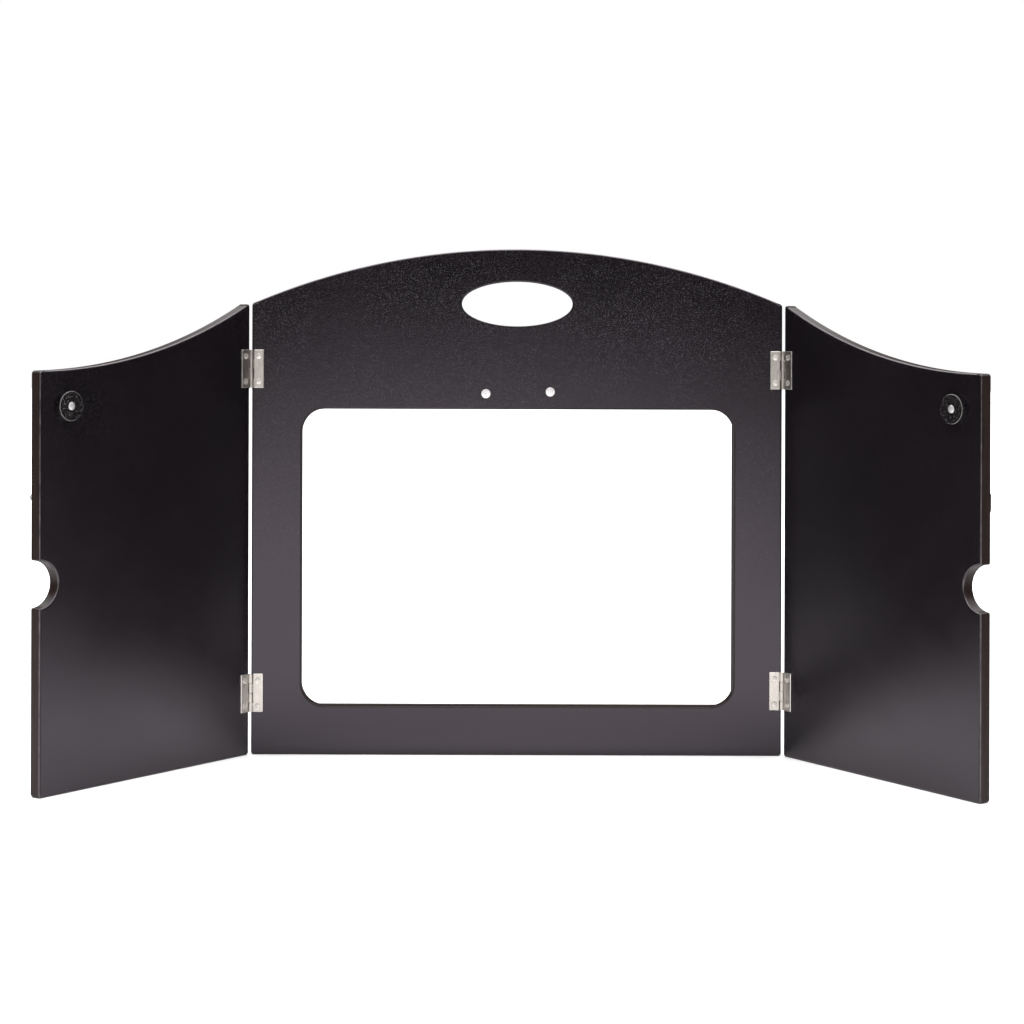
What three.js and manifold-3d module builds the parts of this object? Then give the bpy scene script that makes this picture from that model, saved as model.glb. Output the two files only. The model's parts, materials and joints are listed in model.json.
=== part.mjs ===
// Tabletop picture-card theatre: an upright board with a picture window and a
// carrying hole, two curved side doors on small butt hinges, magnets that hold
// the doors shut, a turn button across the doors, and card rails at the back.
//
// Millimetres, +Z up. The origin is the middle of the board's underside: +X is
// the audience's right, -Y is towards the audience, and the cards slide in
// behind the board. The doors are drawn part open, at the angles below.

import * as THREE from 'three';
import { mergeVertices } from 'three/addons/utils/BufferGeometryUtils.js';
import Module from 'manifold-3d';

const wasm = await Module();
wasm.setup();

// ---------------------------------------------------------------- dimensions

const clearance = 0.3;            // between pieces that touch or run together

const board = { thickness: 12, edgeRound: 1.5, cornerRound: 3 };
const panel = { width: 501, sideHeight: 426, apexHeight: 478 };
const windowAside = 1;            // the window and the keeper screws sit this far to the right
const pictureWindow = { width: 408.6, bottom: 46, top: 326.7, cornerRound: 22 };
const handHole = { width: 105, height: 42.2, middle: 426.4 };

const door = {
  width: 249.7,
  hingeSideHeight: 426.5,
  outerHeight: 366,
  hingeTopRound: 2,
  leftOpening: 51.6,              // degrees forward of lying flat with the panel
  rightOpening: 55.2,
};
const fingerNotch = { radius: 20.3, middle: 182.7 };

const hinge = {
  height: 36,
  reach: 11.6,                    // from the pin's axis to the leaf's free edge
  leafThickness: 0.9,
  barrelRadius: 2,
  pinRadius: 1,
  knuckles: 4,
  axisForward: 1.6,               // pin axis in front of the wood
  axisAside: 0.3,                 // pin axis beside the edge of either board
  slotRoom: 0.5,                  // round a knuckle, where the other leaf is slotted for it
  upperMiddle: 364.5,
  lowerMiddleLeft: 58.5,
  lowerMiddleRight: 61.5,
};
const leafScrew = { fromAxis: 6.9, spacing: 24, head: 2.5, shank: 1.2, length: 9, countersink: 1.3 };

const magnet = { radius: 13, thickness: 5, chamfer: 0.8, fromOuterEdge: 30.3, middle: 335.1 };
const magnetScrew = { head: 3.9, shank: 1.6, length: 13, countersink: 2.3 };
const keeperScrew = {
  aside: 30.4,
  middle: 342.5,
  uneven: 0.9,                    // the right one stands this much higher, the left one lower
  head: 4.35,
  shank: 1.9,
  length: 27,
  countersink: 2.4,
};

const turnButton = { length: 20, width: 8.6, thickness: 1.6, fromOuterEdge: 5.5, middle: 255.5 };
const buttonScrew = { head: 3.2, headHeight: 2.9, shank: 1.5, length: 11 };
const catchScrew = {
  head: 2.6,
  headHeight: 2.4,
  neck: 2.5,                      // bare shank under the head, for the button to swing under
  shank: 0.9,
  length: 11,
  fromOuterEdge: 3.8,
  middle: 257,
};

const cardRail = {
  slotDepth: 17,                  // room for the stack of cards behind the panel
  lipThickness: 8,
  left: -216,
  right: 221,
  ledge: 37.5,                    // the cards stand on this level
  lowerBottom: 22,
  lowerLip: 42.5,
  upperGroove: 337,
  upperTop: 354,
  upperLip: 328,
};
const cardStop = { left: 205.5, width: 12 };
const railScrew = { head: 3.4, shank: 1.6, length: 33, countersink: 2.1, height: 29.5 };
const railScrewPlaces = { left: -190, middle: 0, right: 190 };
const stopScrew = { head: 3.4, shank: 1.6, length: 26, countersink: 2.1 };
const stopScrewPlaces = { lower: 75, middle: 187, upper: 300 };

const frontFace = -board.thickness / 2;
const backFace = board.thickness / 2;
const axisX = panel.width / 2 + hinge.axisAside;
const axisY = frontFace - hinge.axisForward;
const doorInnerFace = hinge.axisForward;
const doorOuterFace = doorInnerFace + board.thickness;
const doorOuterEdge = hinge.axisAside + door.width;
const railBack = backFace + clearance + cardRail.slotDepth + cardRail.lipThickness;

// ----------------------------------------------------------------- materials

const finish = (color, roughness, metalness) => (
  new THREE.MeshStandardMaterial({ color, roughness, metalness }));
const blackWood = finish(0x262426, 0.45, 0);
const darkWood = finish(0x1f1d1f, 0.6, 0);
const nickel = finish(0xb9b2ab, 0.3, 1);
const brightSteel = finish(0xd8d5d0, 0.22, 1);
const blackDisc = finish(0x161616, 0.4, 0.1);

// ------------------------------------------------------------ solid geometry

/** A closed geometry as a solid that can be joined and cut. */
function toSolid(geometry) {
  const shell = geometry.clone();
  shell.deleteAttribute('normal');
  shell.deleteAttribute('uv');
  const merged = mergeVertices(shell, 1e-4);
  return new wasm.Manifold(new wasm.Mesh({
    numProp: 3,
    vertProperties: new Float32Array(merged.attributes.position.array),
    triVerts: new Uint32Array(merged.index.array),
  }));
}

/** A solid as a geometry with flat-shaded faces. */
function toGeometry(solid) {
  const mesh = solid.getMesh();
  const geometry = new THREE.BufferGeometry();
  geometry.setAttribute('position', new THREE.BufferAttribute(new Float32Array(mesh.vertProperties), 3));
  geometry.setIndex(new THREE.BufferAttribute(new Uint32Array(mesh.triVerts), 1));
  geometry.computeVertexNormals();
  return geometry;
}

/** The first geometry with the others joined on. */
function join(first, ...others) {
  return toGeometry(others.reduce((solid, other) => solid.add(toSolid(other)), toSolid(first)));
}

/** The geometry with every cutter taken out of it. */
function cut(geometry, cutters) {
  return toGeometry(cutters.reduce((solid, cutter) => solid.subtract(toSolid(cutter)), toSolid(geometry)));
}

/** Points on a circle from one angle to another, in degrees. */
function arc(x, z, radius, from, to, steps) {
  return Array.from({ length: steps + 1 }, (_, i) => {
    const angle = THREE.MathUtils.degToRad(from + (to - from) * i / steps);
    return new THREE.Vector2(x + radius * Math.cos(angle), z + radius * Math.sin(angle));
  });
}

/** An upright board in the XZ plane, with rounded edges, from y = 0 back to y = its thickness. */
function uprightBoard(outline, holes = []) {
  const shape = new THREE.Shape(outline);
  shape.holes = holes.map((points) => new THREE.Path(points));
  const round = board.edgeRound;
  const geometry = new THREE.ExtrudeGeometry(shape, {
    depth: board.thickness - 2 * round,
    bevelThickness: round,
    bevelSize: round,
    bevelOffset: -round,
    bevelSegments: 2,
  });
  return geometry.rotateX(Math.PI / 2).translate(0, board.thickness - round, 0);
}

/** A bar along X whose end section is given as points (y, z). */
function barAlongX(section, left, right) {
  const shape = new THREE.Shape(section);
  const geometry = new THREE.ExtrudeGeometry(shape, { depth: right - left, bevelEnabled: false });
  const turn = new THREE.Matrix4().makeBasis(
    new THREE.Vector3(0, 1, 0),
    new THREE.Vector3(0, 0, 1),
    new THREE.Vector3(1, 0, 0),
  );
  return geometry.applyMatrix4(turn).translate(left, 0, 0);
}

/** A turned piece about +Y from (radius, height) pairs that start and end on the axis. */
function turned(profile, segments) {
  const points = profile.map(([radius, height]) => new THREE.Vector2(radius, height));
  return new THREE.LatheGeometry(points, segments);
}

// -------------------------------------------------------------------- screws
// A screw is turned about +Y with its seat at y = 0 and its point below.

const screwSegments = 12;
const pointLength = 3;
const headCrown = 0.15;           // how far a flat head's middle stands proud of its seat
const holeAboveSeat = 20;         // how far a screw's hole is left open above its seat

/** A flat-headed screw whose head lies in a countersink. */
function flatHeadScrew({ head, shank, length, countersink }) {
  return turned([
    [0, -length],
    [shank, pointLength - length],
    [shank, -countersink],
    [head, 0],
    [0, headCrown],
  ], screwSegments);
}

/** A screw whose head is half an ellipse, standing on a neck of the given length. */
function roundHeadScrew({ head, headHeight, shank, length, neck = 0 }) {
  const dome = [0, 30, 60].map(THREE.MathUtils.degToRad).map((angle) => (
    [head * Math.cos(angle), neck + headHeight * Math.sin(angle)]));
  return turned([
    [0, -length],
    [shank, pointLength - length],
    [shank, neck],
    ...dome,
    [0, neck + headHeight],
  ], screwSegments);
}

/** The hole that leaves the clearance round a screw, open above its seat. */
function screwHole({ head, shank, length, countersink }) {
  const room = clearance;
  return turned([
    [0, -length - room],
    [shank + room, pointLength - length - room],
    [shank + room, -countersink - room / 2],
    [head + room, room / 2],
    [head + room, holeAboveSeat],
    [0, holeAboveSeat],
  ], screwSegments);
}

/** A plain round hole for a screw that has no countersink. */
function plainScrewHole({ shank, length }) {
  return screwHole({ head: shank, shank, length, countersink: 0 });
}

/** Stands a piece turned about +Y at a place, facing the audience or facing away. */
function stand(geometry, x, y, z, facesAudience) {
  const placed = facesAudience ? geometry.rotateX(Math.PI) : geometry;
  return placed.translate(x, y, z);
}

// ------------------------------------------------------------------ outlines

/** The panel: straight sides and foot, and one circular arch on top. */
function panelOutline() {
  const half = panel.width / 2;
  const rise = panel.apexHeight - panel.sideHeight;
  const radius = (half * half + rise * rise) / (2 * rise);
  const middle = panel.apexHeight - radius;
  const round = board.cornerRound;
  const halfSweep = THREE.MathUtils.radToDeg(Math.asin((half - round) / radius));
  return [
    ...arc(-half + round, round, round, 180, 270, 4),
    ...arc(half - round, round, round, 270, 360, 4),
    new THREE.Vector2(half, panel.sideHeight - round),
    ...arc(0, middle, radius, 90 - halfSweep, 90 + halfSweep, 36),
    new THREE.Vector2(-half, panel.sideHeight - round),
  ];
}

/** The picture window: a rectangle with round corners. */
function windowOutline() {
  const { width, bottom, top, cornerRound: round } = pictureWindow;
  const left = windowAside - width / 2 + round;
  const right = windowAside + width / 2 - round;
  return [
    ...arc(left, bottom + round, round, 180, 270, 7),
    ...arc(right, bottom + round, round, 270, 360, 7),
    ...arc(right, top - round, round, 0, 90, 7),
    ...arc(left, top - round, round, 90, 180, 7),
  ];
}

/** The carrying hole: an ellipse. */
function handHoleOutline() {
  const steps = 40;
  return Array.from({ length: steps }, (_, i) => {
    const angle = 2 * Math.PI * i / steps;
    return new THREE.Vector2(
      handHole.width / 2 * Math.cos(angle),
      handHole.middle + handHole.height / 2 * Math.sin(angle),
    );
  });
}

/**
 * A door, lying flat in the panel's plane: x runs from the hinge axis outwards.
 * The top is a hollow arc that ends level at the outer edge, and the outer edge
 * has a half-round finger notch.
 */
function doorOutline() {
  const drop = door.hingeSideHeight - door.outerHeight;
  const radius = (door.width ** 2 + drop ** 2) / (2 * drop);
  const topMiddle = door.outerHeight + radius;
  const round = board.cornerRound;
  const near = hinge.axisAside;
  const corner = door.hingeTopRound;
  // A rounded top corner touches the top where the top leans by this angle from
  // level: its middle is aside by the sine of it, on a circle larger by its radius.
  const leanWhere = (fromOuterEdge, cornerRound) => Math.asin(fromOuterEdge / (radius + cornerRound));
  const outerLean = leanWhere(round, round);
  const hingeLean = leanWhere(door.width - corner, corner);
  const cornerHeight = (lean, cornerRound) => topMiddle - (radius + cornerRound) * Math.cos(lean);
  const { radToDeg } = THREE.MathUtils;
  const outerEnd = 90 - radToDeg(outerLean);
  const hingeStart = 90 - radToDeg(hingeLean);
  return [
    ...arc(near + round, round, round, 180, 270, 4),
    ...arc(doorOuterEdge - round, round, round, 270, 360, 4),
    ...arc(doorOuterEdge, fingerNotch.middle, fingerNotch.radius, 270, 90, 20),
    ...arc(doorOuterEdge - round, cornerHeight(outerLean, round), round, 0, outerEnd, 3),
    ...arc(doorOuterEdge, topMiddle, radius, 180 + outerEnd, 180 + hingeStart, 28).slice(1),
    ...arc(near + corner, cornerHeight(hingeLean, corner), corner, hingeStart, 180, 4).slice(1),
  ];
}

// --------------------------------------------------------------------- holes

const lowerMiddle = { left: hinge.lowerMiddleLeft, right: hinge.lowerMiddleRight };
const sides = [{ name: 'left', way: -1 }, { name: 'right', way: 1 }];

/** The places of a leaf's two screws: way is +1 where the leaf lies towards +x of the pin. */
function leafScrewPlaces(way, middle) {
  return [['upper', 1], ['lower', -1]].map(([end, up]) => (
    { end, x: way * leafScrew.fromAxis, z: middle + up * leafScrew.spacing / 2 }));
}

/** How far a leaf's front is from the pin's axis, towards the wood. */
const leafFront = hinge.axisForward - clearance - hinge.leafThickness;

/** Cutters for the leaf screws of one board, in a frame centred on the pin's axis. */
function leafScrewHoles(way, middles) {
  return middles.flatMap((middle) => leafScrewPlaces(way, middle)
    .map(({ x, z }) => stand(screwHole(leafScrew), x, leafFront, z, true)));
}

const stopMiddle = cardStop.left + cardStop.width / 2;
const stopBack = backFace + cardRail.slotDepth;

function railScrewHoles() {
  return Object.values(railScrewPlaces).map((x) => (
    stand(screwHole(railScrew), x, railBack, railScrew.height, false)));
}

function stopScrewHoles() {
  return Object.values(stopScrewPlaces).map((z) => (
    stand(screwHole(stopScrew), stopMiddle, stopBack, z, false)));
}

// --------------------------------------------------------------- root pieces

/** The place of a keeper screw: way is -1 for the left one. */
const keeperHeight = (way) => keeperScrew.middle + way * keeperScrew.uneven;
const keeperPlace = (way) => [windowAside + way * keeperScrew.aside, frontFace, keeperHeight(way)];

const keeperScrewHoles = () => [-1, 1].map((way) => (
  stand(screwHole(keeperScrew), ...keeperPlace(way), true)));

function panelGeometry() {
  const holes = [windowOutline(), handHoleOutline()];
  const blank = uprightBoard(panelOutline(), holes).translate(0, frontFace, 0);
  const hingeHoles = sides.flatMap(({ name, way }) => (
    leafScrewHoles(-way, [hinge.upperMiddle, lowerMiddle[name]])
      .map((hole) => hole.translate(way * axisX, axisY, 0))));
  return cut(blank, [...keeperScrewHoles(), ...hingeHoles, ...railScrewHoles(), ...stopScrewHoles()]);
}

/** The lower rail: a ledge for the cards and a low lip behind them. */
function lowerRailGeometry() {
  const front = backFace + clearance;
  const lip = front + cardRail.slotDepth;
  const bar = barAlongX([
    new THREE.Vector2(front, cardRail.lowerBottom),
    new THREE.Vector2(railBack, cardRail.lowerBottom),
    new THREE.Vector2(railBack, cardRail.lowerLip),
    new THREE.Vector2(lip, cardRail.lowerLip),
    new THREE.Vector2(lip, cardRail.ledge),
    new THREE.Vector2(front, cardRail.ledge),
  ], cardRail.left, cardRail.right);
  return cut(bar, railScrewHoles());
}

/** The upper rail: a groove that the cards' top edge slides in. */
function upperRailGeometry() {
  const front = backFace + clearance;
  const lip = front + cardRail.slotDepth;
  const bar = barAlongX([
    new THREE.Vector2(front, cardRail.upperGroove),
    new THREE.Vector2(lip, cardRail.upperGroove),
    new THREE.Vector2(lip, cardRail.upperLip),
    new THREE.Vector2(railBack, cardRail.upperLip),
    new THREE.Vector2(railBack, cardRail.upperTop),
    new THREE.Vector2(front, cardRail.upperTop),
  ], cardRail.left, cardRail.right);
  return cut(bar, keeperScrewHoles());
}

/** The upright strip that the cards are pushed against. */
function cardStopGeometry() {
  const bottom = cardRail.ledge + clearance;
  const height = cardRail.upperGroove - clearance - bottom;
  const depth = stopBack - backFace - clearance;
  const strip = new THREE.BoxGeometry(cardStop.width, depth, height)
    .translate(stopMiddle, stopBack - depth / 2, bottom + height / 2);
  return cut(strip, stopScrewHoles());
}

// -------------------------------------------------------------------- hinges
// A hinge is drawn about its pin, which stands on the z axis at x = y = 0.

const knuckleSegments = 16;
const pinSegments = 12;

/** True where a knuckle, counted from the top, belongs to the left-hand leaf. */
const onLeftLeaf = (knuckle) => knuckle % 2 === 0;

/** One leaf with its knuckles and screw holes: way is -1 for the left-hand leaf. */
function leafGeometry(way) {
  const pitch = hinge.height / hinge.knuckles;
  const plate = new THREE.BoxGeometry(hinge.reach, hinge.leafThickness, hinge.height)
    .translate(way * hinge.reach / 2, leafFront + hinge.leafThickness / 2, 0);
  const level = (knuckle) => hinge.height / 2 - (knuckle + 0.5) * pitch;
  const cylinder = (radius, height, z) => (
    new THREE.CylinderGeometry(radius, radius, height, knuckleSegments)
      .rotateX(Math.PI / 2).translate(0, 0, z));
  const all = Array.from({ length: hinge.knuckles }, (_, i) => i);
  const mine = all.filter((knuckle) => onLeftLeaf(knuckle) === (way < 0));
  const others = all.filter((knuckle) => !mine.includes(knuckle));
  const slotWidth = 2 * (hinge.barrelRadius + hinge.slotRoom);
  const slotted = cut(plate, others.map((knuckle) => (
    new THREE.BoxGeometry(slotWidth, slotWidth, pitch + clearance).translate(0, 0, level(knuckle)))));
  const joined = join(slotted, ...mine.map((knuckle) => (
    cylinder(hinge.barrelRadius, pitch - clearance, level(knuckle)))));
  const bore = cylinder(hinge.pinRadius + clearance, 2 * hinge.height, 0);
  return cut(joined, [bore, ...leafScrewHoles(way, [0])]);
}

function pinGeometry() {
  const { pinRadius, height } = hinge;
  return new THREE.CylinderGeometry(pinRadius, pinRadius, height, pinSegments).rotateX(Math.PI / 2);
}

// --------------------------------------------------------------- door pieces

/** The distance from the hinge axis to a fitting near the door's outer edge. */
const fromAxis = (fitting) => doorOuterEdge - fitting.fromOuterEdge;

/** Seats of the fittings: the magnet screw's is the disc's face, the others' the wood. */
const magnetFace = doorInnerFace - clearance - magnet.thickness;
const buttonTop = doorOuterFace + clearance + turnButton.thickness;

function magnetScrewHole(way) {
  return stand(screwHole(magnetScrew), way * fromAxis(magnet), magnetFace, magnet.middle, true);
}

/** A door with its screw holes; outerFitting is the hole of the screw in its outer face. */
function doorGeometry(way, middles, outerFitting) {
  const outline = doorOutline().map(({ x, y }) => new THREE.Vector2(way * x, y));
  const blank = uprightBoard(outline).translate(0, doorInnerFace, 0);
  return cut(blank, [magnetScrewHole(way), outerFitting, ...leafScrewHoles(way, middles)]);
}

/** The round magnet with its countersunk hole, turned about +Y with its back at y = 0. */
function magnetGeometry(way) {
  const { radius, thickness, chamfer } = magnet;
  const segments = 40;
  const disc = turned([
    [0, 0],
    [radius, 0],
    [radius, thickness - chamfer],
    [radius - chamfer, thickness],
    [0, thickness],
  ], segments);
  const placed = stand(disc, way * fromAxis(magnet), magnetFace + thickness, magnet.middle, true);
  return cut(placed, [magnetScrewHole(way)]);
}

/** The turn button: a flat bar with round ends, upright, about its own screw. */
function turnButtonGeometry() {
  const radius = turnButton.width / 2;
  const reach = turnButton.length / 2 - radius;
  const shape = new THREE.Shape([
    ...arc(0, reach, radius, 0, 180, 10),
    ...arc(0, -reach, radius, 180, 360, 10),
  ]);
  const bar = new THREE.ExtrudeGeometry(shape, { depth: turnButton.thickness, bevelEnabled: false })
    .rotateX(Math.PI / 2)
    .translate(0, turnButton.thickness, 0);
  return cut(bar, [plainScrewHole(buttonScrew)]);
}

// ------------------------------------------------------------------ assembly

const theatre = new THREE.Group();

function addMesh(parent, name, geometry, material) {
  const mesh = new THREE.Mesh(geometry, material);
  mesh.name = name;
  parent.add(mesh);
  return mesh;
}

/** A screw seated at a place, its head towards the audience or away. */
function addScrew(parent, name, geometry, material, [x, y, z], facesAudience) {
  const screw = addMesh(parent, name, geometry, material);
  screw.position.set(x, y, z);
  screw.rotation.x = facesAudience ? Math.PI : 0;
}

addMesh(theatre, 'front_panel', panelGeometry(), blackWood);
addMesh(theatre, 'lower_card_rail', lowerRailGeometry(), darkWood);
addMesh(theatre, 'upper_card_rail', upperRailGeometry(), darkWood);
addMesh(theatre, 'card_stop', cardStopGeometry(), darkWood);

sides.forEach(({ name, way }) => {
  addScrew(theatre, `${name}_keeper_screw`, flatHeadScrew(keeperScrew), nickel, keeperPlace(way), true);
});
Object.entries(railScrewPlaces).forEach(([name, x]) => {
  const place = [x, railBack, railScrew.height];
  addScrew(theatre, `lower_rail_screw_${name}`, flatHeadScrew(railScrew), nickel, place);
});
Object.entries(stopScrewPlaces).forEach(([name, z]) => {
  addScrew(theatre, `card_stop_screw_${name}`, flatHeadScrew(stopScrew), nickel, [stopMiddle, stopBack, z]);
});

/** One hinge: a leaf on the panel, a leaf on the door, its pin and four screws. */
function addHinge(fixed, swinging, hingeName, way, middle) {
  addMesh(fixed, `${hingeName}_panel_leaf`, leafGeometry(-way), nickel).position.z = middle;
  addMesh(fixed, `${hingeName}_pin`, pinGeometry(), nickel).position.z = middle;
  addMesh(swinging, `${hingeName}_door_leaf`, leafGeometry(way), nickel).position.z = middle;
  leafScrewPlaces(-way, middle).forEach(({ end, x, z }) => {
    const name = `${hingeName}_panel_screw_${end}`;
    addScrew(fixed, name, flatHeadScrew(leafScrew), brightSteel, [x, leafFront, z], true);
  });
  leafScrewPlaces(way, middle).forEach(({ end, x, z }) => {
    const name = `${hingeName}_door_screw_${end}`;
    addScrew(swinging, name, flatHeadScrew(leafScrew), brightSteel, [x, leafFront, z], true);
  });
}

// Each door's group stands on its hinge axis and turns about it.
const opening = { left: door.leftOpening, right: -door.rightOpening };
const swingingGroups = {};
sides.forEach(({ name, way }) => {
  const fixed = new THREE.Group();
  const swinging = new THREE.Group();
  [fixed, swinging].forEach((hingeSide) => {
    hingeSide.position.set(way * axisX, axisY, 0);
    theatre.add(hingeSide);
  });
  swinging.rotation.z = THREE.MathUtils.degToRad(opening[name]);
  swingingGroups[name] = swinging;

  const outerFitting = name === 'left'
    ? stand(plainScrewHole(catchScrew), way * fromAxis(catchScrew), doorOuterFace, catchScrew.middle, false)
    : stand(plainScrewHole(buttonScrew), way * fromAxis(turnButton), buttonTop, turnButton.middle, false);
  const middles = { upper: hinge.upperMiddle, lower: lowerMiddle[name] };
  addMesh(swinging, `${name}_door`, doorGeometry(way, Object.values(middles), outerFitting), blackWood);
  addMesh(swinging, `${name}_magnet`, magnetGeometry(way), blackDisc);
  const magnetSeat = [way * fromAxis(magnet), magnetFace, magnet.middle];
  addScrew(swinging, `${name}_magnet_screw`, flatHeadScrew(magnetScrew), brightSteel, magnetSeat, true);
  Object.entries(middles).forEach(([level, middle]) => {
    addHinge(fixed, swinging, `${level}_${name}_hinge`, way, middle);
  });
});

const catchSeat = [-fromAxis(catchScrew), doorOuterFace, catchScrew.middle];
addScrew(swingingGroups.left, 'catch_screw', roundHeadScrew(catchScrew), brightSteel, catchSeat);

const button = addMesh(swingingGroups.right, 'turn_button', turnButtonGeometry(), nickel);
button.position.set(fromAxis(turnButton), doorOuterFace + clearance, turnButton.middle);
const raisedButtonScrew = roundHeadScrew({ ...buttonScrew, neck: clearance });
const buttonSeat = [fromAxis(turnButton), buttonTop, turnButton.middle];
addScrew(swingingGroups.right, 'turn_button_screw', raisedButtonScrew, brightSteel, buttonSeat);

export default theatre;
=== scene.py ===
import json
import math

import bpy
import numpy as np
from mathutils import Matrix, Vector
from mathutils.geometry import tessellate_polygon


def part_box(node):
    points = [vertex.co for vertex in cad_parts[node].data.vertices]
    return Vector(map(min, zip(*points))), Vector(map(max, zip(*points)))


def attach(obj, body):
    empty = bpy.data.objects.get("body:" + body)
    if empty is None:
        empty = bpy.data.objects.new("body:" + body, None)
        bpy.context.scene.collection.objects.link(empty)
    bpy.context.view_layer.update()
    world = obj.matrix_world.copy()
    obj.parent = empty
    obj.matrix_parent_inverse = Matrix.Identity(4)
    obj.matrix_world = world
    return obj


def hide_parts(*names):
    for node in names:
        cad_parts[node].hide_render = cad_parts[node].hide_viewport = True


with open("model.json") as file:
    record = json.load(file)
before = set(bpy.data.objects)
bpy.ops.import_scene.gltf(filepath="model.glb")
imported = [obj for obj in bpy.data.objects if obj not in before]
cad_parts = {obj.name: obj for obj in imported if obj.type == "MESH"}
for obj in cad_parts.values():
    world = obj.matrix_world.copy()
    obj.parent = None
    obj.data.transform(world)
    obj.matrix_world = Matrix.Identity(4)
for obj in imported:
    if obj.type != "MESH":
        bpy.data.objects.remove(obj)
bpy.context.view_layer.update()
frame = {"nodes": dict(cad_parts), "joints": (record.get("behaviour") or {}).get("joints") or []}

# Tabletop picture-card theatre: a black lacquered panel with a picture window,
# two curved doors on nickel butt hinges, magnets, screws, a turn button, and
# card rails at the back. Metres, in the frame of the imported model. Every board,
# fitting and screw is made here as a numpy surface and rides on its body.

MM = 0.001

# ------------------------------------------------------------------ sizes

EDGE_ROUND = 1.56 * MM           # quarter round along every board edge
FACE_MARGIN = 0.5 * MM           # flat strip that ends a board's rounded edge
LINE_END = 0.3 * MM              # how near its ends a straight edge is held flat
CORNER = 3 * MM
WINDOW_ASIDE = 1 * MM            # the window sits this far to the right
WINDOW = {"width": 408.6 * MM, "bottom": 46 * MM, "top": 326.7 * MM, "corner": 22 * MM}
HAND_HOLE = {"width": 105 * MM, "height": 42.2 * MM, "middle": 426.4 * MM}
NOTCH = {"radius": 20.3 * MM, "middle": 182.7 * MM, "lip": 1.6 * MM}
DOOR_SIDE_HEIGHT = 426.5 * MM    # where the door's hollow top meets its hinge side
DOOR_OUTER_HEIGHT = 366 * MM
DOOR_TOP_CORNER = 2 * MM

LEAF_START = 2.5 * MM            # from the pin's axis to the flat of a leaf
LEAF_SCREW_SPACING = 24 * MM
LEAF_SCREW_FROM_AXIS = 6.9 * MM
LEAF_FRONT = 0.4 * MM            # a leaf's two faces, behind the pin's axis
LEAF_BACK = 1.6 * MM
KNUCKLES = 4
KNUCKLE_GAP = 0.3 * MM
BARREL_RADIUS = 2 * MM
ROLLED_THICKNESS = 0.9 * MM
PIN_RADIUS = 1 * MM
PIN_DOME = 0.3 * MM

RAIL_ROUND = 0.8 * MM
STOP_CORNER = 0.6 * MM
CARD_GAP = 0.3 * MM              # between a rail and the card stop
MAGNET_LIP = 0.7 * MM            # radius of the disc's rounded front lip

panel_low, panel_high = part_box("front_panel")
PANEL_HALF_WIDTH = panel_high.x
PANEL_TOP = panel_high.z
PANEL_SIDE_HEIGHT = 426 * MM
BOARD_THICKNESS = panel_high.y - panel_low.y
FRONT_FACE = panel_low.y
BACK_FACE = panel_high.y


# --------------------------------------------------------- places and turns

class Place:
    """A local frame: a point p in it stands at origin + turn @ p in the row frame."""

    def __init__(self, turn, origin):
        self.turn = np.array(turn, float)
        self.origin = np.array(origin, float)

    def of(self, points):
        return np.asarray(points, float) @ self.turn.T + self.origin

    def mirrored(self):
        return np.linalg.det(self.turn) < 0

    def then(self, turn, origin):
        """The frame whose own axes and origin are given inside this one."""
        return Place(self.turn @ np.array(turn, float), self.of(origin))


def turn_about_z(angle):
    c, s = math.cos(angle), math.sin(angle)
    return np.array([[c, -s, 0], [s, c, 0], [0, 0, 1]])


def face_normal(node):
    """The normal of a node's largest triangle: its half cross product is longest there."""
    mesh = frame["nodes"][node].data
    mesh.calc_loop_triangles()
    corners = np.zeros(len(mesh.loop_triangles) * 3, int)
    mesh.loop_triangles.foreach_get("vertices", corners)
    points = np.zeros(len(mesh.vertices) * 3)
    mesh.vertices.foreach_get("co", points)
    a, b, c = points.reshape(-1, 3)[corners.reshape(-1, 3)].transpose(1, 0, 2)
    cross = np.cross(b - a, c - a)
    longest = cross[np.linalg.norm(cross, axis=1).argmax()]
    return longest / np.linalg.norm(longest)


def joint(name):
    return next(j for j in frame["joints"] if j["name"] == name)


def door_place(side, node, hinge):
    """The frame of a door: x outwards from the hinge axis, y away from the audience, z up."""
    normal = face_normal(node)
    if normal[1] < 0:
        normal = -normal
    swing = math.atan2(-normal[0], normal[1])
    x, y, _ = joint(hinge)["pos_m"]
    return Place(turn_about_z(swing) @ np.diag([side, 1, 1]), [x, y, 0])


SIDES = {"left": -1, "right": 1}
DOORS = {name: door_place(side, f"{name}_door", f"{name}_door_hinge") for name, side in SIDES.items()}
WINGS = {"left": "left_wing", "right": "right_wing"}
HOME = Place(np.eye(3), [0, 0, 0])


def measured(node, place):
    """A node's lowest and highest corners in a place's own axes."""
    mesh = frame["nodes"][node].data
    points = np.zeros(len(mesh.vertices) * 3)
    mesh.vertices.foreach_get("co", points)
    local = (points.reshape(-1, 3) - place.origin) @ np.linalg.inv(place.turn).T
    return local.min(0), local.max(0)


# ------------------------------------------------------------------- meshes

class Surface:
    """Points, faces and per-point masks, gathered piece by piece for one mesh."""

    def __init__(self):
        self.points = []
        self.faces = []          # (index array, smooth)
        self.masks = []          # columns: rim, arris
        self.count = 0

    def add(self, points, faces, masks=None):
        """Adds points (n, 3) and a list of (index array, smooth) faces that count from them."""
        self.points.append(points)
        self.masks.append(np.zeros((len(points), 2)) if masks is None else masks)
        self.faces += [(np.asarray(f) + self.count, smooth) for f, smooth in faces if len(f)]
        self.count += len(points)


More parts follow.
